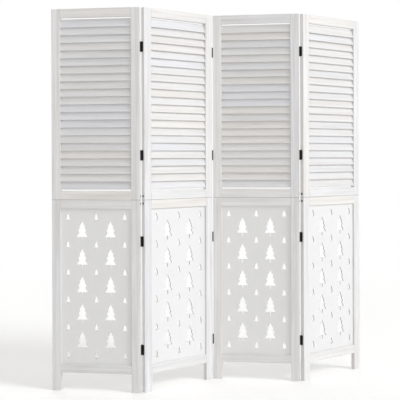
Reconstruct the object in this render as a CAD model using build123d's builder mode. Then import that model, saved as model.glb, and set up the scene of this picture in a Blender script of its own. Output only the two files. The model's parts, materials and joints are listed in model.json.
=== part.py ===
from build123d import *
from dataclasses import dataclass
from math import cos, hypot, radians, sin
import os

# A folding screen of four panels. Each panel is two frames, one standing on the other. The upper
# frame holds fixed slats, and the lower one holds a thin board with fir trees cut through it.
# The screen is modelled as it stands, in a zigzag. +X runs along it from left to right, +Y goes
# to its back and +Z up. The origin is on the floor under its middle. All sizes are in millimetres.

# Panels
panel_count = 4
panel_width = 402
panel_thickness = 20
panel_gap = 3
fold_angle = 50

# Frames
upper_frame_height = 850
lower_frame_height = 850
foot_height = 80
stile_width = 40
rail_height = 40

# Tenons of the rails, and the loose tongues across the seam between the two frames
tenon_length = 20
tenon_thickness = 8
tenon_height = 20
tenon_clearance = 0.1
tongue_length = 60
tongue_width = 12
tongue_thickness = 8
tongue_inset = 4
tongue_clearance = 0.1

# Slats
slat_width = 39
slat_thickness = 5
slat_tilt = 19
slat_pitch = 34.3
slat_margin = 5.5
slat_seat = 7.5
slat_clearance = 0.1
slat_end_gap = 0.5

# Board in the lower frame
board_thickness = 4
board_seat = 8
board_clearance = 0.1
board_edge_gap = 0.5

# Fir trees, each tier as half its width and its height above the lowest branches
tree_crown = 72.5
tree_corners = [(14.8, 47), (19.8, 28.5), (26.2, 0)]
tree_notches = [(11, 41), (14, 20)]
trunk_width = 6
trunk_height = 15.5
tree_drop = 27.5
small_tree_height = 31
small_tree_width = 21.5
small_tree_drop = 11
tree_columns = 3
tree_rows = 6
tree_side_margin = 21
tree_end_margin = 22.5

# Hinges
hinge_height = 45
hinge_below_top = 173
hinge_above_seam = 197
hinge_below_seam = 184
hinge_above_floor = 187
leaf_reach = 13
leaf_clearance = 0.6
pin_diameter = 2
pin_clearance = 0.05
pin_stand_off = 1.5
barrel_clearance = 0.2
knuckle_gap = 0.4
knuckle_side_count = 6

# Sizes that follow from those above
seam_height = lower_frame_height
screen_height = lower_frame_height + upper_frame_height
opening_width = panel_width - 2 * stile_width
louvre_bottom = seam_height + rail_height
louvre_top = screen_height - rail_height
louvre_middle = (louvre_bottom + louvre_top) / 2
board_bottom = foot_height + rail_height
board_top = seam_height - rail_height
board_middle = (board_bottom + board_top) / 2
slat_rise = slat_width * cos(radians(slat_tilt)) + slat_thickness * sin(radians(slat_tilt))
slat_run = louvre_top - louvre_bottom - 2 * slat_margin - slat_rise
slat_count = round(slat_run / slat_pitch) + 1
slat_spacing = slat_run / (slat_count - 1)
leaf_thickness = (panel_gap - leaf_clearance) / 2
barrel_radius = hypot(panel_gap / 2, pin_stand_off) - barrel_clearance
knuckle_height = (hinge_height - 2 * knuckle_gap) / 3
knuckle_pitch = knuckle_height + knuckle_gap
neck_width = barrel_radius + knuckle_gap
leaf_width = leaf_reach + pin_stand_off - neck_width
hinge_bases = [
    centre - hinge_height / 2
    for centre in (
        hinge_above_floor,
        seam_height - hinge_below_seam,
        seam_height + hinge_above_seam,
        screen_height - hinge_below_top,
    )
]


@dataclass
class Panel:
    """A panel's place: the left end of its front face on the floor, and the way it faces."""

    name: str
    corner: Vector
    heading: float

    def turned(self, direction):
        return Vector(direction).rotate(Axis.Z, self.heading)

    def point(self, along, depth, height=0):
        return self.corner + self.turned((along, depth, height))

    def face(self, depth=0):
        """A plane behind the front face, with X along the panel, Y up and Z to the front."""
        return Plane(self.point(0, depth), self.turned((1, 0, 0)), self.turned((0, -1, 0)))

    def across(self, along):
        """A plane square to the panel's length, with X to its back, Y up and Z along it."""
        return Plane(self.point(along, 0), self.turned((0, 1, 0)), self.turned((1, 0, 0)))

    def level(self, height):
        """A level plane, with X along the panel and Y to its back."""
        return Plane(self.point(0, 0, height), self.turned((1, 0, 0)), (0, 0, 1))


@dataclass
class Side:
    """The left or right stile's place in a panel."""

    name: str
    middle: float
    inner_face: float
    outward: int
    tongue_middle: float

    @property
    def outer_face(self):
        return self.inner_face + self.outward * stile_width


@dataclass
class Junction:
    """The line of hinges between two panels, with its pins behind or in front of them."""

    name: str
    left: Panel
    right: Panel
    pin_face: float
    outward: int

    def depth(self, distance):
        """The depth that lies a distance from the pins on the way to the panels' middle."""
        return self.pin_face + self.outward * (pin_stand_off - distance)


def outline(flank):
    """The outline of a fir, from the points down its right flank."""
    mirrored = [(-across, height) for across, height in reversed(flank[1:])]
    with BuildSketch() as tree:
        with BuildLine():
            Polyline(flank + mirrored, close=True)
        make_face()
    return tree.sketch


def large_tree():
    """A fir of several tiers, each with its own branches' tips and the notch below them."""
    flank = [(0, tree_crown)]
    for corner, notch in zip(tree_corners, tree_notches):
        flank += [corner, notch]
    trunk = [(trunk_width / 2, 0), (trunk_width / 2, -trunk_height)]
    return outline(flank + [tree_corners[-1]] + trunk)


def upper_stile(panel, side):
    """A stile of the louvred frame, with mortises, slanted slots and a pocket in its lower end."""
    with BuildPart() as stile:
        with BuildSketch(panel.face()):
            with Locations((side.middle, seam_height + upper_frame_height / 2)):
                Rectangle(stile_width, upper_frame_height)
        extrude(amount=-panel_thickness)
        with BuildSketch(panel.across(side.inner_face)):
            for rail_middle in (louvre_bottom - rail_height / 2, louvre_top + rail_height / 2):
                with Locations((panel_thickness / 2, rail_middle)):
                    Rectangle(tenon_thickness + 2 * tenon_clearance, tenon_height + 2 * tenon_clearance)
        extrude(amount=side.outward * (tenon_length + tenon_clearance), mode=Mode.SUBTRACT)
        with BuildSketch(panel.across(side.inner_face)):
            with Locations((panel_thickness / 2, louvre_middle)):
                with GridLocations(panel_thickness, slat_spacing, 1, slat_count):
                    Rectangle(
                        slat_thickness + 2 * slat_clearance,
                        slat_width + 2 * slat_clearance,
                        rotation=-slat_tilt,
                    )
        extrude(amount=side.outward * (slat_seat + slat_end_gap), mode=Mode.SUBTRACT)
        with BuildSketch(panel.level(seam_height)):
            with Locations((side.tongue_middle, panel_thickness / 2)):
                Rectangle(tongue_width + 2 * tongue_clearance, tongue_thickness + 2 * tongue_clearance)
        extrude(amount=tongue_length / 2 + tongue_clearance, mode=Mode.SUBTRACT)
    return stile.part


def lower_stile(panel, side):
    """A stile of the board's frame, with mortises, the board's groove and a pocket at its top."""
    with BuildPart() as stile:
        with BuildSketch(panel.face()):
            with Locations((side.middle, lower_frame_height / 2)):
                Rectangle(stile_width, lower_frame_height)
        extrude(amount=-panel_thickness)
        with BuildSketch(panel.across(side.inner_face)):
            for rail_middle in (board_bottom - rail_height / 2, board_top + rail_height / 2):
                with Locations((panel_thickness / 2, rail_middle)):
                    Rectangle(tenon_thickness + 2 * tenon_clearance, tenon_height + 2 * tenon_clearance)
        extrude(amount=side.outward * (tenon_length + tenon_clearance), mode=Mode.SUBTRACT)
        with BuildSketch(panel.across(side.inner_face)):
            with Locations((panel_thickness / 2, board_middle)):
                Rectangle(
                    board_thickness + 2 * board_clearance,
                    board_top - board_bottom + 2 * (board_seat + board_edge_gap),
                )
        extrude(amount=side.outward * (board_seat + board_edge_gap), mode=Mode.SUBTRACT)
        with BuildSketch(panel.level(seam_height)):
            with Locations((side.tongue_middle, panel_thickness / 2)):
                Rectangle(tongue_width + 2 * tongue_clearance, tongue_thickness + 2 * tongue_clearance)
        extrude(amount=-(tongue_length / 2 + tongue_clearance), mode=Mode.SUBTRACT)
    return stile.part


def rail(panel, middle, board_edge=None):
    """A rail with a tenon at each end and, where it holds the board, a groove along that edge."""
    with BuildPart() as bar:
        with BuildSketch(panel.face()):
            with Locations((panel_width / 2, middle)):
                Rectangle(opening_width, rail_height)
        extrude(amount=-panel_thickness)
        with BuildSketch(panel.face((panel_thickness - tenon_thickness) / 2)):
            with Locations((panel_width / 2, middle)):
                Rectangle(opening_width + 2 * tenon_length, tenon_height)
        extrude(amount=-tenon_thickness)
        if board_edge is not None:
            with BuildSketch(panel.across(stile_width)):
                with Locations((panel_thickness / 2, board_edge)):
                    Rectangle(board_thickness + 2 * board_clearance, 2 * (board_seat + board_edge_gap))
            extrude(amount=opening_width, mode=Mode.SUBTRACT)
    return bar.part


def slat_row(panel):
    """The slats, each tilted with its top edge to the back and its ends in the stiles' slots."""
    with BuildPart() as slats:
        with BuildSketch(panel.across(stile_width - slat_seat)):
            with Locations((panel_thickness / 2, louvre_middle)):
                with GridLocations(panel_thickness, slat_spacing, 1, slat_count):
                    Rectangle(slat_thickness, slat_width, rotation=-slat_tilt)
        extrude(amount=opening_width + 2 * slat_seat)
    return slats.part


def tree_board(panel):
    """The thin board, with rows of small firs and, between them, rows of large ones."""
    opening_height = board_top - board_bottom
    column_pitch = (opening_width - 2 * tree_side_margin - small_tree_width) / (tree_columns - 1)
    row_pitch = (opening_height - 2 * tree_end_margin - small_tree_height) / (tree_rows - 1)
    small_tree = outline([(0, small_tree_height), (small_tree_width / 2, 0)])
    with BuildPart() as board:
        with BuildSketch(panel.face((panel_thickness - board_thickness) / 2)):
            with Locations((panel_width / 2, board_middle)):
                Rectangle(opening_width + 2 * board_seat, opening_height + 2 * board_seat)
            with Locations((panel_width / 2, board_middle - small_tree_drop)):
                with GridLocations(column_pitch, row_pitch, tree_columns, tree_rows):
                    add(small_tree, mode=Mode.SUBTRACT)
            with Locations((panel_width / 2, board_middle - tree_drop)):
                with GridLocations(column_pitch, row_pitch, tree_columns - 1, tree_rows - 1):
                    add(large_tree(), mode=Mode.SUBTRACT)
        extrude(amount=-board_thickness)
    return board.part


def joining_tongues(panel, sides):
    """The loose tongues inside the stiles, half in the lower frame and half in the upper one."""
    with BuildPart() as tongues:
        with BuildSketch(panel.level(seam_height - tongue_length / 2)):
            for side in sides:
                with Locations((side.tongue_middle, panel_thickness / 2)):
                    Rectangle(tongue_width, tongue_thickness)
        extrude(amount=tongue_length)
    return tongues.part


def hinge_leaves(panel, side, junction, knuckle_starts, pin_radius, pin_mode):
    """A panel's leaves, with knuckles at some heights above their bases and a pin or a bore."""
    leaf_place = side.outer_face + side.outward * leaf_thickness / 2
    pin_place = (side.outer_face + side.outward * panel_gap / 2, junction.depth(0))
    with BuildPart() as leaves:
        for base in hinge_bases:
            with BuildSketch(panel.level(base)):
                with Locations((leaf_place, junction.depth(neck_width + leaf_width / 2))):
                    Rectangle(leaf_thickness, leaf_width)
            extrude(amount=hinge_height)
            for start in knuckle_starts:
                with BuildSketch(panel.level(base + start)):
                    with Locations((leaf_place, junction.depth(neck_width / 2))):
                        Rectangle(leaf_thickness, neck_width)
                    with Locations(pin_place):
                        RegularPolygon(barrel_radius, knuckle_side_count)
                extrude(amount=knuckle_height)
            with BuildSketch(panel.level(base)):
                with Locations(pin_place):
                    Circle(pin_radius)
            extrude(amount=hinge_height, mode=pin_mode)
    return leaves.part


def standing_panels():
    """The panels in a zigzag, each hung on the one before it at the pin that they share."""
    panels = [Panel("panel_1", Vector(0, 0), -fold_angle / 2)]
    for index in range(1, panel_count):
        pin_depth = -pin_stand_off if index % 2 == 0 else panel_thickness + pin_stand_off
        pin = panels[-1].point(panel_width + panel_gap / 2, pin_depth)
        panel = Panel(f"panel_{index + 1}", Vector(0, 0), -panels[-1].heading)
        panel.corner = pin - panel.turned((-panel_gap / 2, pin_depth, 0))
        panels.append(panel)
    outline = [
        panel.point(along, depth)
        for panel in panels
        for along in (0, panel_width)
        for depth in (0, panel_thickness)
    ]
    middle = Vector(
        (min(point.X for point in outline) + max(point.X for point in outline)) / 2,
        (min(point.Y for point in outline) + max(point.Y for point in outline)) / 2,
    )
    for panel in panels:
        panel.corner -= middle
    return panels


def save(part, name):
    part.label = name
    export_step(part, f"parts/{name}.step")


# Building
os.makedirs("parts", exist_ok=True)
left = Side("left", stile_width / 2, stile_width, -1, tongue_inset + tongue_width / 2)
right = Side(
    "right",
    panel_width - stile_width / 2,
    panel_width - stile_width,
    1,
    panel_width - tongue_inset - tongue_width / 2,
)
panels = standing_panels()

for panel in panels:
    for side in (left, right):
        save(upper_stile(panel, side), f"{panel.name}_upper_{side.name}_stile")
        save(lower_stile(panel, side), f"{panel.name}_lower_{side.name}_stile")
    save(rail(panel, louvre_top + rail_height / 2), f"{panel.name}_top_rail")
    save(rail(panel, louvre_bottom - rail_height / 2), f"{panel.name}_upper_middle_rail")
    save(rail(panel, board_top + rail_height / 2, board_top), f"{panel.name}_lower_middle_rail")
    save(rail(panel, board_bottom - rail_height / 2, board_bottom), f"{panel.name}_bottom_rail")
    save(slat_row(panel), f"{panel.name}_slats")
    save(tree_board(panel), f"{panel.name}_tree_board")
    save(joining_tongues(panel, (left, right)), f"{panel.name}_joining_tongues")

for index in range(panel_count - 1):
    behind = index % 2 == 0
    junction = Junction(
        f"hinges_{index + 1}{index + 2}",
        panels[index],
        panels[index + 1],
        panel_thickness if behind else 0,
        1 if behind else -1,
    )
    outer_knuckles = (0, 2 * knuckle_pitch)
    with_pins = hinge_leaves(junction.left, right, junction, outer_knuckles, pin_diameter / 2, Mode.ADD)
    bore_radius = pin_diameter / 2 + pin_clearance
    bored = hinge_leaves(junction.right, left, junction, (knuckle_pitch,), bore_radius, Mode.SUBTRACT)
    save(with_pins, f"{junction.name}_left_leaves")
    save(bored, f"{junction.name}_right_leaves")
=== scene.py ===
"""Looks for a folding screen of four whitewashed panels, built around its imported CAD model.

Every panel has a louvred frame above and, below it, a frame whose thin board is pierced by firs.
Pieces are worked out in a panel's own millimetres: u runs along the panel from its left end, v
goes from its front face to its back and z up from the floor. Places are then turned into metres.
"""

import json
import logging
from dataclasses import dataclass, field
from enum import Enum
from math import cos, hypot, pi, radians, sin
from typing import Sequence

import bpy
import numpy as np
from mathutils import Matrix, Vector
from mathutils.geometry import delaunay_2d_cdt

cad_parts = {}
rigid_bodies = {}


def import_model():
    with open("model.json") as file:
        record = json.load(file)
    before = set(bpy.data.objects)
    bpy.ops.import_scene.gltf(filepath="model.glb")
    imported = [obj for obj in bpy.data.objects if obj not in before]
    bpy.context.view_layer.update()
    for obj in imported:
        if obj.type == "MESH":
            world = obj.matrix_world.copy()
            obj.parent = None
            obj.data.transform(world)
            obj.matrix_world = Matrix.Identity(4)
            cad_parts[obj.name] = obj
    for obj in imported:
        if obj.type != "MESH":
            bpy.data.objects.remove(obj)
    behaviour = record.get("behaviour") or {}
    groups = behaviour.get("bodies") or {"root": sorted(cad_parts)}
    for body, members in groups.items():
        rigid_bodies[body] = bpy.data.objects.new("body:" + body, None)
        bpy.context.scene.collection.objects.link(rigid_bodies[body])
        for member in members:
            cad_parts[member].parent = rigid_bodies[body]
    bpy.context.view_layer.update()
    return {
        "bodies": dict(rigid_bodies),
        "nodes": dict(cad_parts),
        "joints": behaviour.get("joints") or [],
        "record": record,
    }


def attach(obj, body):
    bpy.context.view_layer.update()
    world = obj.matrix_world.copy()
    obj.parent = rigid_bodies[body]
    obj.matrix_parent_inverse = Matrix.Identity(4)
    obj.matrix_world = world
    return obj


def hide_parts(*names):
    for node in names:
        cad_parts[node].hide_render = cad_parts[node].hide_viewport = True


log = logging.getLogger("folding_screen")

METRES = 0.001
Socket = bpy.types.NodeSocket
Tree = bpy.types.NodeTree

# Points of a board that lie this near to one another, in millimetres, are one point.
SAME_POINT = 1e-6
# The rounding of a bar's end stops this far short of its quarter turn, which leaves a flat.
END_TURN = radians(12)
# Metal faces that meet at more than this angle keep a sharp edge between them.
CREASE = radians(35)
# Every piece is sawn from somewhere along a log of this length, in millimetres.
LOG_LENGTH = 4000.0
# How far the tones of the frames' bars and of the slats spread, from -1, cool, to 1, warm.
TONE_SPREAD = 0.6
# Where the random draws of each sub-assembly start.
FRAME_SEED, SLAT_SEED, BOARD_SEED = 39445, 23, 37


class End(Enum):
    """The left or the right end of a panel."""

    LEFT = "left"
    RIGHT = "right"


@dataclass(frozen=True)
class ScreenSizes:
    """The sizes that the sub-assemblies share, in millimetres and degrees."""

    panel_count: int = 4
    panel_width: float = 402.0
    thickness: float = 20.0
    gap: float = 3.0
    fold: float = 50.0
    pin_stand_off: float = 1.5
    seam: float = 850.0
    height: float = 1700.0
    foot: float = 80.0
    stile: float = 40.0
    rail: float = 40.0

    @property
    def inner_right(self) -> float:
        """The right stile's inner face, along the panel."""
        return self.panel_width - self.stile

    @property
    def opening(self) -> float:
        """The clear width between a panel's stiles."""
        return self.panel_width - 2 * self.stile


SIZES = ScreenSizes()


@dataclass
class Surface:
    """Points, faces, what the materials read at each point, and which blocks of faces are cut edges that
    take painted shade.
    """

    points: np.ndarray
    faces: list[np.ndarray]
    grain: np.ndarray
    tone: np.ndarray
    wear_and_seam_shade: np.ndarray
    cut: np.ndarray

    @staticmethod
    def of(points: np.ndarray, faces: list[np.ndarray], wear_and_seam_shade: np.ndarray | None = None) -> "Surface":
        """Make a surface whose grain follows its own points.

        Args:
            points: The points, one a row.
            faces: Arrays of point numbers, one face a row.
            wear_and_seam_shade: Wear from 0 to 1, or painted seam shade from 0 to -1, at each point.

        Returns:
            The surface, with no tone of its own and no cut edges.
        """
        wear_and_shade = np.zeros(len(points)) if wear_and_seam_shade is None else wear_and_seam_shade
        return Surface(points, faces, points.copy(), np.zeros(len(points)), wear_and_shade, np.zeros(len(faces)))

    def marked(self, shift: Sequence[float], tone: float) -> "Surface":
        """Set the grain off by a shift, so that no two pieces are sawn from one place, and tone it.

        Args:
            shift: How far the grain is moved, in millimetres.
            tone: The piece's tone, from -1, cool, to 1, warm.

        Returns:
            The same surface.
        """
        self.grain = self.grain + np.asarray(shift)
        self.tone = np.full(len(self.points), tone)
        return self

    def seated(self, origin: Sequence[float], axes: Sequence[Sequence[float]]) -> "Surface":
        """Carry the points from the piece's own axes to the panel's.

        Args:
            origin: Where the piece's own origin lies in the panel.
            axes: The piece's three axes in the panel, right-handed.

        Returns:
            The same surface.
        """
        self.points = np.asarray(origin) + self.points @ np.asarray(axes, float)
        return self


def joined(pieces: Sequence[Surface]) -> Surface:
    """Put several surfaces into one.

    Args:
        pieces: The surfaces.

    Returns:
        One surface that holds them all.
    """
    starts = np.cumsum([0] + [len(piece.points) for piece in pieces[:-1]])
    faces = [face + start for piece, start in zip(pieces, starts) for face in piece.faces]
    return Surface(
        np.vstack([piece.points for piece in pieces]),
        faces,
        np.vstack([piece.grain for piece in pieces]),
        np.concatenate([piece.tone for piece in pieces]),
        np.concatenate([piece.wear_and_seam_shade for piece in pieces]),
        np.concatenate([piece.cut for piece in pieces]),
    )


def wrapped(rows: int, columns: int, closed: bool = False) -> np.ndarray:
    """Quads of a grid whose columns wrap round, and its rows too if it is closed.

    Args:
        rows: How many rings the grid has.
        columns: How many points a ring has.
        closed: Whether the last ring joins the first.

    Returns:
        The quads, one a row, facing out where the rings run up and turn anticlockwise.
    """
    last = rows if closed else rows - 1
    row, column = np.meshgrid(np.arange(last), np.arange(columns), indexing="ij")
    above, beside = (row + 1) % rows, (column + 1) % columns
    corners = [
        row * columns + column,
        row * columns + beside,
        above * columns + beside,
        above * columns + column,
    ]
    return np.stack(corners, axis=-1).reshape(-1, 4)


def capped(rows: int, columns: int) -> list[np.ndarray]:
    """The faces that close a grid's first and last rings, facing out."""
    ring = np.arange(columns)
    return [ring[::-1][None, :], (ring + (rows - 1) * columns)[None, :]]


def eased_bar(length: float, width: float, depth: float, arris: float, steps: int = 2) -> Surface:
    """A bar with all its arrises eased.

    Each corner of its section is an arc of the arris' radius about a fixed centre. Towards an
    end that radius shrinks with the sine of an angle while the section moves out with its
    cosine, so the ends are rounded alike.

    Args:
        length: The bar's length, along x from 0.
        width: Its width, along y about 0.
        depth: Its depth, along z about 0.
        arris: The radius of its arrises.
        steps: How many facets an arris has.

    Returns:
        The closed bar.
    """
    turn = np.linspace(END_TURN, pi / 2, steps + 1)
    radius = np.concatenate([arris * np.sin(turn), arris * np.sin(turn[::-1])])
    inset = arris * (1 - np.cos(turn))
    along = np.concatenate([inset, length - inset[::-1]])
    angle = (np.arange(4)[:, None] * pi / 2 + np.linspace(0, pi / 2, steps + 1)).ravel()
    sign_y = np.repeat([1, -1, -1, 1], steps + 1)
    sign_z = np.repeat([1, 1, -1, -1], steps + 1)
    y = sign_y * (width / 2 - arris) + radius[:, None] * np.cos(angle)
    z = sign_z * (depth / 2 - arris) + radius[:, None] * np.sin(angle)
    x = np.broadcast_to(along[:, None], y.shape)
    points = np.stack([x, y, z], axis=-1).reshape(-1, 3)
    columns = len(angle)
    facet = np.arange(columns) % (steps + 1)
    inner = (facet != 0) & (facet != steps)
    wear_and_seam_shade = np.tile(inner.astype(float), (len(along), 1))
    wear_and_seam_shade[[0, -1]] = 1
    faces = [wrapped(len(along), columns), *capped(len(along), columns)]
    return Surface.of(points, faces, wear_and_seam_shade.ravel())


def turned(
    profile: Sequence[tuple[float, float]], count: int = 24, ring: bool = False, flats: int = 0
) -> Surface:
    """A turned piece: a profile of radius and height carried round the z axis.

    Args:
        profile: Radius and height, going up the outside.
        count: How many points go round.
        ring: Whether the profile closes on itself, as a tube's does.
        flats: How many points at the profile's end lie on a hexagon and not on a circle.

    Returns:
        The closed piece.
    """
    rows = np.asarray(profile, float)
    angle, sector = np.arange(count) * 2 * pi / count, pi / 3
    across = np.ones((len(rows), count))
    if flats:
        across[-flats:] = cos(sector / 2) / np.cos(np.mod(angle, sector) - sector / 2)
    radius = rows[:, :1] * across
    height = np.broadcast_to(rows[:, 1:], radius.shape)
    points = np.stack([radius * np.cos(angle), radius * np.sin(angle), height], axis=-1).reshape(-1, 3)
    faces = [wrapped(len(rows), count, ring)]
    if not ring:
        faces += capped(len(rows), count)
    return Surface.of(points, faces)


def plate(outline: np.ndarray, thickness: float) -> Surface:
    """A flat plate: an anticlockwise outline raised by its thickness.

    Args:
        outline: The outline's points, in x and y.
        thickness: How far it is raised along z.

    Returns:
        The closed plate.
    """
    count = len(outline)
    low = np.column_stack([outline, np.zeros(count)])
    high = np.column_stack([outline, np.full(count, thickness)])
    return Surface.of(np.vstack([low, high]), [wrapped(2, count), *capped(2, count)])


def inside(places: np.ndarray, outline: np.ndarray) -> np.ndarray:
    """Which places lie inside an outline, counted by the sides that a ray to the right crosses.

    Args:
        places: The places, in x and y.
        outline: The outline's points.

    Returns:
        True for each place inside.
    """
    after = np.roll(outline, -1, axis=0)
    x, y = places[:, :1], places[:, 1:]
    spans = (outline[:, 1] > y) != (after[:, 1] > y)
    rise = np.where(after[:, 1] == outline[:, 1], 1.0, after[:, 1] - outline[:, 1])
    crossing = outline[:, 0] + (y - outline[:, 1]) / rise * (after[:, 0] - outline[:, 0])
    return (spans & (crossing > x)).sum(axis=1) % 2 == 1


def pierced(outline: np.ndarray, holes: Sequence[np.ndarray], front: float, back: float) -> Surface:
    """A board with holes through it, in a panel's own axes.

    The front is a triangulation that keeps every side of the outlines, less the triangles whose
    middles lie in a hole. The back repeats it turned round, and each side that only one triangle
    has becomes a wall between the two.

    Args:
        outline: The board's corners, along and up.
        holes: Each hole's points, along and up.
        front: The front face's depth.
        back: The back face's depth.

    Returns:
        The closed board.
    """
    loops = [outline, *holes]
    flat = np.vstack(loops)
    firsts = np.cumsum([0] + [len(loop) for loop in loops[:-1]])
    edges = [
        (int(first + i), int(first + (i + 1) % len(loop)))
        for first, loop in zip(firsts, loops)
        for i in range(len(loop))
    ]
    found = delaunay_2d_cdt([Vector(point) for point in flat], edges, [], 0, SAME_POINT, False)
    flat = np.array([tuple(point) for point in found[0]])
    triangles = np.array([tuple(face) for face in found[2]])
    a, b, c = (flat[triangles[:, i]] for i in range(3))
    area = (b[:, 0] - a[:, 0]) * (c[:, 1] - a[:, 1]) - (b[:, 1] - a[:, 1]) * (c[:, 0] - a[:, 0])
    triangles[area < 0] = triangles[area < 0][:, ::-1]
    middles = flat[triangles].mean(axis=1)
    kept = triangles[~np.any([inside(middles, hole) for hole in holes], axis=0)]
    count = len(flat)
    sides = np.vstack([kept[:, [0, 1]], kept[:, [1, 2]], kept[:, [2, 0]]])
    keys = sides[:, 0] * count + sides[:, 1]
    alone = sides[~np.isin(keys, sides[:, 1] * count + sides[:, 0])]
    walls = np.column_stack([alone[:, 1], alone[:, 0], alone[:, 0] + count, alone[:, 1] + count])
    points = np.vstack([np.insert(flat, 1, front, axis=1), np.insert(flat, 1, back, axis=1)])
    board = Surface.of(points, [kept, kept[:, ::-1] + count, walls])
    # The walls of the holes are marked to take painted shade.
    board.cut[-1] = 1
    return board


def sawn_from(draws: np.random.Generator) -> dict[str, object]:
    """Draw where in its log a piece is sawn from, and then its tone.

    Args:
        draws: The sub-assembly's random draws.

    Returns:
        The shift of its grain and its tone, by the names that marked takes.
    """
    shift = draws.uniform(0, LOG_LENGTH, 3)
    return {"shift": shift, "tone": float(np.clip(draws.normal(0, TONE_SPREAD), -1, 1))}


def placed(name: str, data: bpy.types.ID) -> bpy.types.Object:
    """Put an object in the scene.

    Args:
        name: The object's name.
        data: Its mesh, camera or lamp.

    Returns:
        The object.
    """
    made = bpy.data.objects.new(name, data)
    bpy.context.scene.collection.objects.link(made)
    return made


@dataclass(frozen=True)
class PanelPlace:
    """Where a panel stands: the left end of its front face, and the way it is turned."""

    number: int
    corner: tuple[float, float]
    heading: float

    @property
    def body(self) -> str:
        """The CAD body that the panel's pieces ride on."""
        return f"panel_{self.number}"

    def in_metres(self, points: np.ndarray) -> np.ndarray:
        """Turn the panel's own points into places in the frame.

        Args:
            points: Along, depth and height, one point a row, in millimetres.

        Returns:
            The places in metres.
        """
        c, s = cos(radians(self.heading)), sin(radians(self.heading))
        axes = np.array([[c, s, 0], [-s, c, 0], [0, 0, 1]])
        return (np.array([*self.corner, 0]) + points @ axes) * METRES


def standing_places(sizes: ScreenSizes) -> list[PanelPlace]:
    """Stand the panels in a zigzag, each hung on the one before it at the pins that they share.

    Args:
        sizes: The screen's sizes.

    Returns:
        The panels' places, about the middle of the whole screen.
    """

    def turned_by(along: float, depth: float, heading: float) -> np.ndarray:
        """Turn a step along and across a panel into one on the floor."""
        c, s = cos(radians(heading)), sin(radians(heading))
        return np.array([along * c - depth * s, along * s + depth * c])

    corners, headings = [np.zeros(2)], [-sizes.fold / 2]
    for number in range(1, sizes.panel_count):
        depth = -sizes.pin_stand_off if number % 2 == 0 else sizes.thickness + sizes.pin_stand_off
        pin = corners[-1] + turned_by(sizes.panel_width + sizes.gap / 2, depth, headings[-1])
        headings.append(-headings[-1])
        corners.append(pin - turned_by(-sizes.gap / 2, depth, headings[-1]))
    reach = np.array([
        corner + turned_by(along, depth, heading)
        for corner, heading in zip(corners, headings)
        for along in (0, sizes.panel_width)
        for depth in (0, sizes.thickness)
    ])
    middle = (reach.min(axis=0) + reach.max(axis=0)) / 2
    return [
        PanelPlace(number + 1, tuple(corner - middle), heading)
        for number, (corner, heading) in enumerate(zip(corners, headings))
    ]


# Where a Mix node of colours keeps its factor, its two colours and its result.
MIX_FACTOR, MIX_FIRST, MIX_SECOND, MIX_RESULT = 0, 6, 7, 2


class Nodes:
    """Adds nodes to a material or a node group and links them."""

    def __init__(self, tree: Tree) -> None:
        """Start with a tree.

        Args:
            tree: The node tree to add to.
        """
        self.tree = tree

    def add(
        self, kind: str, inputs: dict[str | int, object] | None = None, **settings: object
    ) -> bpy.types.Node:
        """Add a node.

        Args:
            kind: The node's type name.
            inputs: Values or sockets for its inputs, by name or number.
            **settings: The node's own settings.

        Returns:
            The node.
        """
        node = self.tree.nodes.new(kind)
        for name, value in settings.items():
            setattr(node, name, value)
        for name, value in (inputs or {}).items():
            if isinstance(value, Socket):
                self.tree.links.new(value, node.inputs[name])
            else:
                node.inputs[name].default_value = value
        return node

    def math(self, operation: str, first: object, second: object = 0.0) -> Socket:
        """Add a Math node that works the given operation on two values and give its result."""
        return self.add("ShaderNodeMath", {0: first, 1: second}, operation=operation).outputs[0]

    def blend(self, share: object, first: object, second: object, mode: str = "MIX") -> Socket:
        """Mix two colours.

        Args:
            share: How much of the second is mixed in.
            first: The first colour.
            second: The second colour.
            mode: How they are mixed.

        Returns:
            The mixed colour.
        """
        inputs = {MIX_FACTOR: share, MIX_FIRST: first, MIX_SECOND: second}
        node = self.add("ShaderNodeMix", inputs, data_type="RGBA", blend_type=mode)
        return node.outputs[MIX_RESULT]

    def spread(self, value: object, low: float, high: float, to_low: float, to_high: float) -> Socket:
        """Map a value from one range to another and give the result."""
        inputs = {"Value": value, "From Min": low, "From Max": high, "To Min": to_low, "To Max": to_high}
        return self.add("ShaderNodeMapRange", inputs).outputs["Result"]


def new_group(
    name: str, inputs: dict[str, str], outputs: dict[str, str]
) -> tuple[Tree, Nodes, dict[str, Socket]]:
    """Start a shared node group.

    Args:
        name: The group's name.
        inputs: Each input's name and socket type.
        outputs: Each output's name and socket type.

    Returns:
        The group, a helper that adds to it, and its inputs by name.
    """
    tree = bpy.data.node_groups.new(name, "ShaderNodeTree")
    for label, kind in inputs.items():
        tree.interface.new_socket(name=label, in_out="INPUT", socket_type=kind)
    for label, kind in outputs.items():
        tree.interface.new_socket(name=label, in_out="OUTPUT", socket_type=kind)
    entry = tree.nodes.new("NodeGroupInput")
    return tree, Nodes(tree), {label: entry.outputs[label] for label in inputs}


@dataclass(frozen=True)
class Streaks:
    """Noise drawn out along the grain, and the range of it that shows as dark."""

    stretch: tuple[float, float, float]
    detail: float
    warp: float
    noise_from: float
    noise_to: float
    roughness: float = 0.6


BANDS = Streaks((2.2, 70, 70), 3.0, 0.5, 0.35, 0.7)
FIBRES = Streaks((9, 700, 700), 2.0, 0.1, 0.3, 0.7)
PORES = Streaks((40, 1600, 1600), 1.0, 0.0, 0.62, 0.8)
PORE_SHARE = 0.12
FIBRE_RELIEF = 0.5
PATCH_DETAIL, PATCH_ROUGHNESS = 3.0, 0.55
PATCH_FROM, PATCH_TO = 0.3, 0.7


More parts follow.
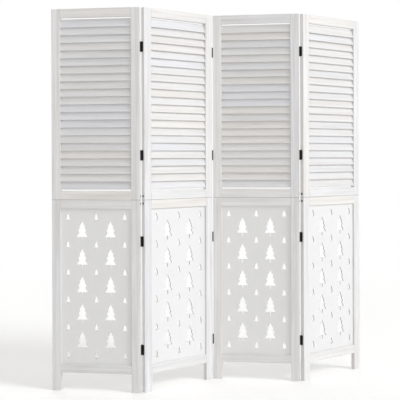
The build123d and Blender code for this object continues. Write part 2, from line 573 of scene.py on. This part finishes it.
class SharedEffects:
    """The node groups that more than one finish uses, each built once."""

    def __init__(self) -> None:
        """Build the groups."""
        self.grain = self.build_grain()
        self.mottle = self.build_mottle()

    def build_grain(self) -> Tree:
        """Streaks that run along x: broad growth bands, fine fibres and short pores.

        Returns:
            The group. It gives a mask of dark streaks and a height.
        """
        value = "NodeSocketFloat"
        inputs = {"Vector": "NodeSocketVector", "Band": value, "Fibre": value}
        tree, nodes, entry = new_group("straight_grain", inputs, {"Mask": value, "Height": value})

        def shown(streaks: Streaks) -> Socket:
            """Give one kind of streak as a mask.

            Args:
                streaks: The kind.

            Returns:
                The mask, from 0 to 1.
            """
            stretch = {0: entry["Vector"], 1: streaks.stretch}
            scaled = nodes.add("ShaderNodeVectorMath", stretch, operation="MULTIPLY")
            noise = nodes.add("ShaderNodeTexNoise", {
                "Vector": scaled.outputs[0],
                "Scale": 1.0,
                "Detail": streaks.detail,
                "Roughness": streaks.roughness,
                "Distortion": streaks.warp,
            })
            return nodes.spread(noise.outputs["Fac"], streaks.noise_from, streaks.noise_to, 0, 1)

        band, fibre, pore = shown(BANDS), shown(FIBRES), shown(PORES)
        banded = nodes.math("MULTIPLY", band, entry["Band"])
        fibred = nodes.math("MULTIPLY", fibre, entry["Fibre"])
        pored = nodes.math("MULTIPLY", pore, PORE_SHARE)
        mask = nodes.math("ADD", nodes.math("ADD", banded, fibred), pored)
        height = nodes.math("SUBTRACT", nodes.math("MULTIPLY", fibre, FIBRE_RELIEF), pore)
        nodes.add("NodeGroupOutput", {"Mask": mask, "Height": height})
        return tree

    def build_mottle(self) -> Tree:
        """Soft patches, as a brushed wash or old lacquer has.

        Returns:
            The group. It gives a mask from 0 to 1.
        """
        inputs = {"Vector": "NodeSocketVector", "Scale": "NodeSocketFloat"}
        tree, nodes, entry = new_group("soft_patches", inputs, {"Mask": "NodeSocketFloat"})
        noise = nodes.add("ShaderNodeTexNoise", {
            "Vector": entry["Vector"],
            "Scale": entry["Scale"],
            "Detail": PATCH_DETAIL,
            "Roughness": PATCH_ROUGHNESS,
        })
        mask = nodes.spread(noise.outputs["Fac"], PATCH_FROM, PATCH_TO, 0, 1)
        nodes.add("NodeGroupOutput", {"Mask": mask})
        return tree


Colour = tuple[float, float, float, float]
WARM: Colour = (1.0, 0.985, 0.955, 1)
COOL: Colour = (0.955, 0.965, 1.0, 1)


def empty_material(name: str) -> tuple[bpy.types.Material, Nodes]:
    """Start a material with no nodes.

    Args:
        name: The material's name.

    Returns:
        The material, and a helper that adds to it.
    """
    made = bpy.data.materials.new(name)
    made.use_nodes = True
    made.node_tree.nodes.clear()
    return made, Nodes(made.node_tree)


@dataclass(frozen=True)
class WashedWood:
    """Light wood under a thin white wash, which lets its grain through."""

    name: str
    slot: str
    wash: Colour
    streak: Colour
    warm: Colour = WARM
    cool: Colour = COOL
    bare: Colour = (0.66, 0.55, 0.42, 1)
    # Painted shade: this dark colour is mixed into the arrises at the seam and into the firs' walls, by
    # these shares, in place of the shade there.
    painted_shade: Colour = (0.16, 0.14, 0.12, 1)
    seam_shade_share: float = 0.75
    wall_shade_share: float = 0.44
    band: float = 0.5
    fibre: float = 0.35
    roughness: tuple[float, float] = (0.5, 0.66)
    patch_scale: float = 6.0
    thinnest: float = 0.7
    rub_from: float = 0.35
    rub_share: float = 0.4
    relief: float = 0.35
    relief_depth: float = 0.0004
    specular: float = 0.35
    on_object: bool = False

    def material(self, effects: SharedEffects) -> bpy.types.Material:
        """Build the material.

        Args:
            effects: The shared node groups.

        Returns:
            The material.
        """
        made, nodes = empty_material(self.name)

        def painted(label: str, output: str = "Fac") -> Socket:
            """Read an attribute of the mesh."""
            return nodes.add("ShaderNodeAttribute", attribute_name=label).outputs[output]

        if self.on_object:
            grain = nodes.add("ShaderNodeTexCoord").outputs["Object"]
        else:
            grain = painted("grain", "Vector")
        wear_and_seam_shade = painted("wear_and_seam_shade")
        laid = {"Vector": grain, "Band": self.band, "Fibre": self.fibre}
        streaks = nodes.add("ShaderNodeGroup", laid, node_tree=effects.grain)
        spots = {"Vector": grain, "Scale": self.patch_scale}
        patch = nodes.add("ShaderNodeGroup", spots, node_tree=effects.mottle).outputs["Mask"]
        toned = nodes.blend(nodes.spread(painted("tone"), -1, 1, 0, 1), self.cool, self.warm)
        washed = nodes.blend(1.0, self.wash, toned, "MULTIPLY")
        shown = nodes.blend(1.0, self.streak, toned, "MULTIPLY")
        thin = nodes.math("MULTIPLY", streaks.outputs["Mask"], nodes.spread(patch, 0, 1, self.thinnest, 1.0))
        rubbed = nodes.math("MULTIPLY", wear_and_seam_shade, nodes.spread(patch, self.rub_from, 1, 0, self.rub_share))
        clean = nodes.blend(rubbed, nodes.blend(thin, washed, shown), self.bare)
        # Painted shade in the seam between the frames, in place of the shadow in that joint.
        seam_shade = nodes.spread(wear_and_seam_shade, 0, -1, 0, self.seam_shade_share)
        # Painted shade on the firs' walls, in place of the shade in the cut-outs.
        wall_shade = nodes.math("MULTIPLY", painted("cut"), self.wall_shade_share)
        colour = nodes.blend(nodes.math("ADD", seam_shade, wall_shade), clean, self.painted_shade)
        bump = nodes.add("ShaderNodeBump", {
            "Strength": self.relief,
            "Distance": self.relief_depth,
            "Height": streaks.outputs["Height"],
        })
        shader = nodes.add("ShaderNodeBsdfPrincipled", {
            "Base Color": colour,
            "Roughness": nodes.spread(streaks.outputs["Mask"], 0, 1, *self.roughness),
            "Normal": bump.outputs["Normal"],
            "Specular IOR Level": self.specular,
        })
        nodes.add("ShaderNodeOutputMaterial", {"Surface": shader.outputs[0]})
        return made


@dataclass(frozen=True)
class DarkMetal:
    """Blackened or painted metal."""

    name: str
    slot: str
    colour: Colour
    rubbed: Colour
    metallic: float
    roughness: tuple[float, float]
    patch_scale: float = 180.0
    rub_from: float = 0.45
    rub_share: float = 0.5
    relief: float = 0.15
    relief_depth: float = 0.0002

    def material(self, effects: SharedEffects) -> bpy.types.Material:
        """Build the material.

        Args:
            effects: The shared node groups.

        Returns:
            The material.
        """
        made, nodes = empty_material(self.name)
        place = nodes.add("ShaderNodeTexCoord").outputs["Object"]
        spots = {"Vector": place, "Scale": self.patch_scale}
        patch = nodes.add("ShaderNodeGroup", spots, node_tree=effects.mottle).outputs["Mask"]
        rubbed = nodes.spread(patch, self.rub_from, 1, 0, self.rub_share)
        bump = nodes.add("ShaderNodeBump", {
            "Strength": self.relief,
            "Distance": self.relief_depth,
            "Height": patch,
        })
        shader = nodes.add("ShaderNodeBsdfPrincipled", {
            "Base Color": nodes.blend(rubbed, self.colour, self.rubbed),
            "Roughness": nodes.spread(patch, 0, 1, *self.roughness),
            "Normal": bump.outputs["Normal"],
            "Metallic": self.metallic,
        })
        nodes.add("ShaderNodeOutputMaterial", {"Surface": shader.outputs[0]})
        return made


class Finish(Enum):
    """The screen's finishes."""

    FRAME = WashedWood(
        "washed_frame_wood", "frame_wood", (0.828, 0.824, 0.822, 1), (0.62, 0.6, 0.58, 1), band=0.7
    )
    SLAT = WashedWood(
        "washed_slat_wood", "slat_wood", (0.768, 0.768, 0.768, 1), (0.64, 0.62, 0.6, 1), band=0.6
    )
    BOARD = WashedWood(
        "washed_board", "board", (0.783, 0.779, 0.775, 1), (0.72, 0.71, 0.7, 1), band=0.15, fibre=0.12
    )
    INNER = WashedWood(
        "bare_inner_wood", "inner_wood", (0.66, 0.52, 0.36, 1), (0.5, 0.36, 0.22, 1), on_object=True
    )
    HINGE = DarkMetal(
        "black_hinge_metal",
        "hinge_metal",
        colour=(0.036, 0.034, 0.032, 1),
        rubbed=(0.075, 0.068, 0.06, 1),
        metallic=0.5,
        roughness=(0.36, 0.52),
    )
    BOLT = DarkMetal(
        "dark_bolt_metal",
        "hinge_metal",
        colour=(0.03, 0.026, 0.023, 1),
        rubbed=(0.07, 0.06, 0.05, 1),
        metallic=0.85,
        roughness=(0.3, 0.45),
    )


class Workshop:
    """Turns surfaces into dressed pieces that ride on the CAD bodies."""

    def __init__(self, frame: dict[str, object]) -> None:
        """Load the finishes.
        """
        effects = SharedEffects()
        self.frame = frame
        self.materials = {finish: finish.value.material(effects) for finish in Finish}

    def make(
        self, name: str, surface: Surface, place: PanelPlace, finish: Finish, nodes: Sequence[str]
    ) -> None:
        """Make a piece, dress it, and seat it on its panel.

        Args:
            name: The piece's name.
            surface: Its surface, in the panel's own millimetres.
            place: The panel.
            finish: Its finish.
            nodes: The CAD nodes that it stands for.
        """
        mesh = bpy.data.meshes.new(name)
        faces = [face for block in surface.faces for face in block.tolist()]
        mesh.from_pydata(place.in_metres(surface.points).tolist(), [], faces)
        cut = np.repeat(surface.cut, [len(block) for block in surface.faces])
        for label, kind, domain, field_name, values in (
            ("grain", "FLOAT_VECTOR", "POINT", "vector", surface.grain * METRES),
            ("tone", "FLOAT", "POINT", "value", surface.tone),
            ("wear_and_seam_shade", "FLOAT", "POINT", "value", surface.wear_and_seam_shade),
            ("cut", "FLOAT", "FACE", "value", cut),
        ):
            layer = mesh.attributes.new(label, kind, domain)
            layer.data.foreach_set(field_name, np.ascontiguousarray(values, np.float32).ravel())
        mesh.materials.append(self.materials[finish])
        if finish in (Finish.HINGE, Finish.BOLT):
            mesh.shade_smooth()
            mesh.set_sharp_from_angle(angle=CREASE)
        mesh.validate()
        piece = placed(name, mesh)
        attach(piece, place.body)
        for node in nodes:
            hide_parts(node)
        log.info("%s: %d faces on %s", name, len(faces), place.body)

    def dress(self, node: str, finish: Finish) -> None:
        """Give a CAD node that stays a finish.

        Args:
            node: The node's name.
            finish: Its finish.
        """
        for slot in self.frame["nodes"][node].material_slots:
            slot.material = self.materials[finish]
        log.info("%s keeps its CAD shape", node)


@dataclass
class Frames:
    """The stiles and rails of a panel's two frames."""

    sizes: ScreenSizes = SIZES
    arris: float = 1.2
    # How near the seam, in arrises, the painted seam shade reaches.
    seam_shade_reach: float = 0.8
    draws: np.random.Generator = field(default_factory=lambda: np.random.default_rng(FRAME_SEED))

    def stile(self, end: End, low: float, high: float) -> Surface:
        """A stile between two heights, with its grain upright.

        Args:
            end: The panel's end that it stands at.
            low: Its lower end.
            high: Its upper end.

        Returns:
            The stile.
        """
        s = self.sizes
        middle = s.stile / 2 if end is End.LEFT else s.panel_width - s.stile / 2
        bar = eased_bar(high - low, s.stile, s.thickness, self.arris).marked(**sawn_from(self.draws))
        return self.met(bar.seated((middle, s.thickness / 2, low), ((0, 0, 1), (1, 0, 0), (0, 1, 0))))

    def rail(self, middle: float) -> Surface:
        """A rail between the stiles, with its grain level.

        Args:
            middle: The height of its middle.

        Returns:
            The rail.
        """
        s = self.sizes
        bar = eased_bar(s.opening, s.rail, s.thickness, self.arris).marked(**sawn_from(self.draws))
        return self.met(bar.seated((s.stile, s.thickness / 2, middle), ((1, 0, 0), (0, 0, 1), (0, -1, 0))))

    def met(self, bar: Surface) -> Surface:
        """Mark the arrises that meet at the seam for painted shade, which the material reads below zero."""
        bar.wear_and_seam_shade[np.abs(bar.points[:, 2] - self.sizes.seam) < self.seam_shade_reach * self.arris] = -1
        return bar

    def build(self, workshop: Workshop, place: PanelPlace) -> None:
        """Make the panel's eight bars.

        Args:
            workshop: Makes the pieces.
            place: The panel.
        """
        s = self.sizes
        half = s.rail / 2
        for end in End:
            for part, low, high in (("lower", 0.0, s.seam), ("upper", s.seam, s.height)):
                node = f"{place.body}_{part}_{end.value}_stile"
                workshop.make(f"{node}_wood", self.stile(end, low, high), place, Finish.FRAME, [node])
        for part, middle in (
            ("bottom_rail", s.foot + half),
            ("lower_middle_rail", s.seam - half),
            ("upper_middle_rail", s.seam + half),
            ("top_rail", s.height - half),
        ):
            node = f"{place.body}_{part}"
            workshop.make(f"{node}_wood", self.rail(middle), place, Finish.FRAME, [node])


@dataclass
class Louvre:
    """The fixed slats of a panel's upper frame."""

    sizes: ScreenSizes = SIZES
    width: float = 39.0
    thickness: float = 5.0
    tilt: float = 19.0
    pitch: float = 34.3
    margin: float = 5.5
    seat: float = 3.0
    arris: float = 1.1
    facets: int = 3
    draws: np.random.Generator = field(default_factory=lambda: np.random.default_rng(SLAT_SEED))

    def slat(self, middle: float) -> Surface:
        """A slat, with its top edge tilted to the back.

        Args:
            middle: The height of its middle.

        Returns:
            The slat.
        """
        s, t = self.sizes, radians(self.tilt)
        bar = eased_bar(s.opening + 2 * self.seat, self.width, self.thickness, self.arris, self.facets)
        bar.marked(**sawn_from(self.draws))
        axes = ((1, 0, 0), (0, sin(t), cos(t)), (0, -cos(t), sin(t)))
        return bar.seated((s.stile - self.seat, s.thickness / 2, middle), axes)

    def build(self, workshop: Workshop, place: PanelPlace) -> None:
        """Make the panel's slats as one piece.

        Args:
            workshop: Makes the pieces.
            place: The panel.
        """
        s, t = self.sizes, radians(self.tilt)
        low, high = s.seam + s.rail, s.height - s.rail
        rise = self.width * cos(t) + self.thickness * sin(t)
        run = high - low - 2 * self.margin - rise
        count = round(run / self.pitch) + 1
        middles = (low + high) / 2 + np.linspace(-run / 2, run / 2, count)
        node = f"{place.body}_slats"
        slats = joined([self.slat(middle) for middle in middles])
        workshop.make(f"{node}_wood", slats, place, Finish.SLAT, [node])


@dataclass
class FirBoard:
    """The thin board of a panel's lower frame, pierced by large and small firs."""

    sizes: ScreenSizes = SIZES
    thickness: float = 4.6
    seat: float = 3.0
    crown: float = 74.0
    tiers: tuple[tuple[float, float], ...] = (
        (7.5, 57.0), (14.2, 47.5), (10.7, 42.0), (19.2, 29.5), (13.5, 21.0), (24.9, 3.0), (23.0, 0.5),
        (1.8, 1.5), (1.8, -15.5),
    )
    small_share: float = 0.405
    large_drop: float = 27.5
    small_drop: float = 10.9
    columns: int = 3
    rows: int = 6
    column_pitch: float = 129.4
    row_pitch: float = 122.8
    tone_reach: float = 0.2
    draws: np.random.Generator = field(default_factory=lambda: np.random.default_rng(BOARD_SEED))

    def fir(self, share: float, along: float, height: float) -> np.ndarray:
        """A fir's outline, drawn down its right flank and mirrored to the left.

        Args:
            share: Its size against a large one's.
            along: Its place along the panel.
            height: The height of its lowest branches.

        Returns:
            The outline's points, along and up.
        """
        flank = np.array([(0.0, self.crown), *self.tiers])
        mirrored = flank[:0:-1] * (-1, 1)
        return np.vstack([flank, mirrored])[::-1] * share + (along, height)

    def build(self, workshop: Workshop, place: PanelPlace) -> None:
        """Make the panel's board.

        Args:
            workshop: Makes the pieces.
            place: The panel.
        """
        s = self.sizes
        low, high = s.foot + s.rail, s.seam - s.rail
        middle = ((low + high) / 2, s.panel_width / 2)
        outline = np.array([
            (s.stile - self.seat, low - self.seat),
            (s.inner_right + self.seat, low - self.seat),
            (s.inner_right + self.seat, high + self.seat),
            (s.stile - self.seat, high + self.seat),
        ])
        holes = []
        for share, drop, columns, rows in (
            (self.small_share, self.small_drop, self.columns, self.rows),
            (1.0, self.large_drop, self.columns - 1, self.rows - 1),
        ):
            across = middle[1] + (np.arange(columns) - (columns - 1) / 2) * self.column_pitch
            up = middle[0] - drop + (np.arange(rows) - (rows - 1) / 2) * self.row_pitch
            holes += [self.fir(share, x, z) for x in across for z in up]
        front = (s.thickness - self.thickness) / 2
        board = pierced(outline, holes, front, front + self.thickness)
        shift = self.draws.uniform(0, LOG_LENGTH, 3)
        board.grain = board.points[:, [2, 0, 1]].copy()
        board.marked(shift, float(self.draws.uniform(-self.tone_reach, self.tone_reach)))
        node = f"{place.body}_tree_board"
        workshop.make(f"{node}_wood", board, place, Finish.BOARD, [node])


@dataclass
class SeamBolts:
    """The dark socket-headed bolts beside the seam, in the stiles' narrow faces."""

    sizes: ScreenSizes = SIZES
    from_seam: float = 16.5
    radius: float = 4.6
    sunk: float = 1.0
    proud: float = 0.9
    ease: float = 0.3
    socket: float = 2.4
    socket_floor: float = 0.05

    def bolt(self) -> Surface:
        """A bolt's head, with its face along z and a six-sided socket.

        Returns:
            The head.
        """
        profile = [
            (self.radius, -self.sunk),
            (self.radius, self.proud - self.ease),
            (self.radius - self.ease, self.proud),
            (self.socket + self.ease / 2, self.proud),
            (self.socket, self.proud - self.ease / 2),
            (self.socket, self.socket_floor),
        ]
        return turned(profile, flats=2)

    def build(self, workshop: Workshop, place: PanelPlace) -> None:
        """Make the panel's four bolts as one piece.

        Args:
            workshop: Makes the pieces.
            place: The panel.
        """
        s = self.sizes
        heads = []
        for height in (s.seam - self.from_seam, s.seam + self.from_seam):
            for along, side in ((0.0, -1), (s.panel_width, 1)):
                axes = ((0, side, 0), (0, 0, 1), (side, 0, 0))
                heads.append(self.bolt().seated((along, s.thickness / 2, height), axes))
        workshop.make(f"{place.body}_seam_bolts", joined(heads), place, Finish.BOLT, [])


@dataclass
class HingeLine:
    """The four butt hinges between two panels."""

    left: PanelPlace
    right: PanelPlace
    sizes: ScreenSizes = SIZES
    height: float = 45.0
    reach: float = 13.0
    leaf: float = 1.2
    barrel_clearance: float = 0.2
    knuckle_gap: float = 0.4
    pin: float = 1.0
    pin_clearance: float = 0.05
    corner: float = 2.5
    neck_end: float = 1.2
    corner_points: int = 5
    knuckle_ease: float = 0.15
    button_inset: float = 0.25
    button_edge: float = 0.3
    button_shoulder: tuple[float, float] = (0.7, 0.75)
    button_tip: tuple[float, float] = (0.4, 0.9)
    screw_along: float = 0.55
    screw_up: float = 0.31
    screw_section: tuple[tuple[float, float], ...] = (
        (2.9, -0.4), (2.9, 0.0), (2.6, 0.12), (1.5, 0.14), (1.3, 0.06), (1.1, 0.03),
    )
    middles: tuple[float, ...] = (187.0, 666.0, 1047.0, 1527.0)

    @property
    def behind(self) -> bool:
        """Whether the pins stand behind the panels."""
        return self.left.number % 2 == 1

    @property
    def barrel(self) -> float:
        """The knuckles' radius, which clears the stiles' arrises at every angle."""
        return hypot(self.sizes.gap / 2, self.sizes.pin_stand_off) - self.barrel_clearance

    @property
    def knuckle_height(self) -> float:
        """The height of one of the three knuckles."""
        return (self.height - 2 * self.knuckle_gap) / 3

    def knuckle_span(self, number: int) -> tuple[float, float]:
        """A knuckle's two ends above the hinge's middle, lower first, with the knuckles counted up."""
        low = -self.height / 2 + number * (self.knuckle_height + self.knuckle_gap)
        return low, low + self.knuckle_height

    def leaf_outline(self, own: Sequence[int]) -> np.ndarray:
        """A leaf's outline, in the distance from the pin and the height above its middle.

        Its far corners are arcs. Towards the pin it reaches under its own knuckles and stops
        short of the others.

        Args:
            own: Which of the three knuckles, counted up, belong to it.

        Returns:
            The outline's points, anticlockwise.
        """
        far, half = self.sizes.pin_stand_off + self.reach, self.height / 2
        arc = np.linspace(0, pi / 2, self.corner_points)
        centre = (far - self.corner, half - self.corner)
        upper = np.column_stack([np.cos(arc), np.sin(arc)]) * self.corner + centre
        lower = (upper * (1, -1))[::-1]
        edge = []
        for number in (2, 1, 0):
            low, high = self.knuckle_span(number)
            spare = 0 if number in own else self.knuckle_gap
            distance = self.neck_end if number in own else self.barrel + self.knuckle_gap
            edge += [(distance, min(high + spare, half)), (distance, max(low - spare, -half))]
        return np.vstack([upper, edge, lower])

    def knuckle(self, number: int) -> Surface:
        """One of the three knuckles, a tube about the pin.

        Args:
            number: Which knuckle, counted up.

        Returns:
            The knuckle.
        """
        low, high = self.knuckle_span(number)
        bore, ease = self.pin + self.pin_clearance, self.knuckle_ease
        profile = [
            (self.barrel - ease, low),
            (self.barrel, low + ease),
            (self.barrel, high - ease),
            (self.barrel - ease, high),
            (bore, high),
            (bore, low),
        ]
        return turned(profile, ring=True)

    def pin_rod(self) -> Surface:
        """The pin, with a button at each end, the lower one the upper one's mirror image.

        Returns:
            The pin.
        """
        button, half = self.barrel - self.button_inset, self.height / 2
        share, rise = self.button_shoulder
        crown = [(button, 0.0), (button, self.button_edge), (share * button, rise), self.button_tip]
        top = np.array(crown) + (0, half)
        return turned([*(top[::-1] * (1, -1)), (self.pin, -half), (self.pin, half), *top])

    def screw(self) -> Surface:
        """A countersunk screw's head, nearly flush, with a six-sided drive."""
        return turned(self.screw_section, flats=2)

    def leaves(self, place: PanelPlace, end: End, own: Sequence[int]) -> Surface:
        """The four leaves on one panel, with their knuckles and screws.

        Args:
            place: The panel.
            end: The panel's end that they are screwed to.
            own: Which knuckles belong to them.

        Returns:
            The leaves as one surface.
        """
        s = self.sizes
        side = 1 if end is End.RIGHT else -1
        inward = -1 if self.behind else 1
        pin_depth = s.thickness + s.pin_stand_off if self.behind else -s.pin_stand_off
        face = s.panel_width if end is End.RIGHT else 0.0
        axle = (face + side * s.gap / 2, pin_depth)
        upright = side * inward
        axes = ((0, inward, 0), (0, 0, upright), (side, 0, 0))
        pieces = []
        for middle in self.middles:
            leaf = plate((self.leaf_outline(own) * (1, upright))[::upright], self.leaf)
            pieces.append(leaf.seated((face, pin_depth, middle), axes))
            rods = [self.pin_rod()] if end is End.RIGHT else []
            for round_piece in [self.knuckle(number) for number in own] + rods:
                pieces.append(round_piece.seated((*axle, middle), np.eye(3)))
            for offset in (-self.screw_up, self.screw_up):
                depth = pin_depth + inward * (s.pin_stand_off + self.reach * self.screw_along)
                seat = (face + side * self.leaf, depth, middle + offset * self.height)
                pieces.append(self.screw().seated(seat, axes))
        return joined(pieces)

    def build(self, workshop: Workshop) -> None:
        """Make the leaves of both panels.

        Args:
            workshop: Makes the pieces.
        """
        name = f"hinges_{self.left.number}{self.right.number}"
        for place, end, own in ((self.left, End.RIGHT, (0, 2)), (self.right, End.LEFT, (1,))):
            side = "left" if place is self.left else "right"
            node = f"{name}_{side}_leaves"
            workshop.make(f"{node}_metal", self.leaves(place, end, own), place, Finish.HINGE, [node])


@dataclass(frozen=True)
class Lamp:
    """A far lamp: the way to it, its strength, how wide it looks, in degrees, and its colour."""

    name: str
    towards: tuple[float, float, float]
    strength: float
    width: float
    colour: tuple[float, float, float] = (1.0, 1.0, 1.0)


@dataclass
class Studio:
    """The camera, the lamps, the world and the floor."""

    eye: tuple[float, float, float] = (-1.3064, -4.1845, 1.039235)
    ahead: tuple[float, float] = (0.28041, 0.95988)
    pitch_down: float = 0.152
    roll: float = -0.196
    lens: float = 85.614
    sensor: float = 36.0
    shift_y: float = -0.1015
    world_strength: float = 0.43
    lamps: tuple[Lamp, ...] = (
        Lamp("key", (0.608, -0.578, 0.545), 1.2, 24.0, (0.97, 0.985, 1.0)),
        Lamp("side", (0.861, -0.497, 0.105), 0.95, 40.0, (0.97, 0.985, 1.0)),
        Lamp("fill", (-0.298, -0.943, 0.149), 0.82, 60.0),
        Lamp("back", (0.05, 0.96, 0.27), 1.1, 60.0),
    )
    floor_lit: float = 0.78
    contact_reach: float = 0.5
    floor_half: float = 14.0
    floor_colour: Colour = (0.94, 0.932, 0.92, 1)
    floor_fade: tuple[float, float] = (2.2, 5.0)
    view_end: float = 60.0

    def build_camera(self) -> None:
        """Set the camera where the photograph was taken from.

        The view's axes are the way ahead, tipped down by the pitch, then turned by the roll.
        """
        p, r = radians(self.pitch_down), radians(self.roll)
        ahead = Vector((self.ahead[0] * cos(p), self.ahead[1] * cos(p), -sin(p))).normalized()
        level = Vector((self.ahead[1], -self.ahead[0], 0)).normalized()
        upright = level.cross(ahead)
        right = level * cos(r) + upright * sin(r)
        up = upright * cos(r) - level * sin(r)
        turn = Matrix((right, up, -ahead)).transposed().to_4x4()
        data = bpy.data.cameras.new("view")
        data.lens = self.lens
        data.sensor_width = self.sensor
        data.shift_y = self.shift_y
        data.clip_end = self.view_end
        camera = placed("view", data)
        camera.matrix_world = Matrix.Translation(self.eye) @ turn
        bpy.context.scene.camera = camera

    def build_lamps(self) -> None:
        """Hang a key lamp and a low one to the right of the camera, a fill to its left and one behind."""
        for lamp in self.lamps:
            data = bpy.data.lights.new(lamp.name, "SUN")
            data.energy = lamp.strength
            data.color = lamp.colour
            data.angle = radians(lamp.width)
            hung = placed(lamp.name, data)
            hung.rotation_euler = Vector(lamp.towards).to_track_quat("Z", "Y").to_euler()

    def build_world(self) -> None:
        """Make a world that is plain white to the eye and softer as a light."""
        world = bpy.data.worlds.new("studio")
        bpy.context.scene.world = world
        world.use_nodes = True
        world.node_tree.nodes.clear()
        nodes = Nodes(world.node_tree)
        path = nodes.add("ShaderNodeLightPath")
        seen = nodes.math("MAXIMUM", path.outputs["Is Camera Ray"], path.outputs["Is Glossy Ray"])
        seen = nodes.math("MAXIMUM", seen, path.outputs["Is Transmission Ray"])
        strength = nodes.spread(seen, 0, 1, self.world_strength, 1.0)
        shade = nodes.add("ShaderNodeBackground", {"Color": (1, 1, 1, 1), "Strength": strength})
        nodes.add("ShaderNodeOutputWorld", {"Surface": shade.outputs[0]})

    def build_floor(self) -> None:
        """Lay a pale floor that keeps the shadows and fades to white away from the screen.

        To the camera, part of it is plain white, and a glow makes up what a lit patch lacks. The
        glow is weaker close under the screen, where less of the sky is open.
        """
        corners = np.array([(-1, -1, 0), (1, -1, 0), (1, 1, 0), (-1, 1, 0)]) * self.floor_half
        mesh = bpy.data.meshes.new("floor")
        mesh.from_pydata(corners.tolist(), [], [(0, 1, 2, 3)])
        made, nodes = empty_material("pale_floor")
        seen = nodes.add("ShaderNodeLightPath").outputs["Is Camera Ray"]
        place = nodes.add("ShaderNodeTexCoord").outputs["Object"]
        far = nodes.add("ShaderNodeVectorMath", {0: place}, operation="LENGTH").outputs["Value"]
        plain = nodes.math("MULTIPLY", nodes.spread(far, *self.floor_fade, 0, 1), seen)
        kept = nodes.math("SUBTRACT", 1.0, plain)
        dimmed = nodes.blend(kept, (0, 0, 0, 1), self.floor_colour)
        matt = nodes.add("ShaderNodeBsdfDiffuse", {"Color": dimmed})
        rest = nodes.math("SUBTRACT", 1.0, nodes.math("MULTIPLY", kept, self.floor_lit))
        open_to_sky = nodes.add("ShaderNodeAmbientOcclusion", {"Distance": self.contact_reach}).outputs["AO"]
        strength = nodes.math("MULTIPLY", nodes.math("MULTIPLY", rest, seen), open_to_sky)
        glow = nodes.add("ShaderNodeEmission", {"Color": (1, 1, 1, 1), "Strength": strength})
        mixed = nodes.add("ShaderNodeAddShader", {0: matt.outputs[0], 1: glow.outputs[0]})
        nodes.add("ShaderNodeOutputMaterial", {"Surface": mixed.outputs[0]})
        mesh.materials.append(made)
        placed("floor", mesh)

    def build(self) -> None:
        """Set up the whole studio."""
        bpy.context.scene.view_settings.view_transform = "Standard"
        self.build_camera()
        self.build_lamps()
        self.build_world()
        self.build_floor()


def main() -> None:
    """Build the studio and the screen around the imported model."""
    logging.basicConfig(level=logging.INFO, format="%(name)s %(message)s")
    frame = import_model()
    Studio().build()
    workshop = Workshop(frame)
    places = standing_places(SIZES)
    frames, louvre, board, bolts = Frames(), Louvre(), FirBoard(), SeamBolts()
    for place in places:
        frames.build(workshop, place)
        louvre.build(workshop, place)
        board.build(workshop, place)
        bolts.build(workshop, place)
        workshop.dress(f"{place.body}_joining_tongues", Finish.INNER)
    for left, right in zip(places, places[1:]):
        HingeLine(left, right).build(workshop)


if __name__ == "__main__":
    main()
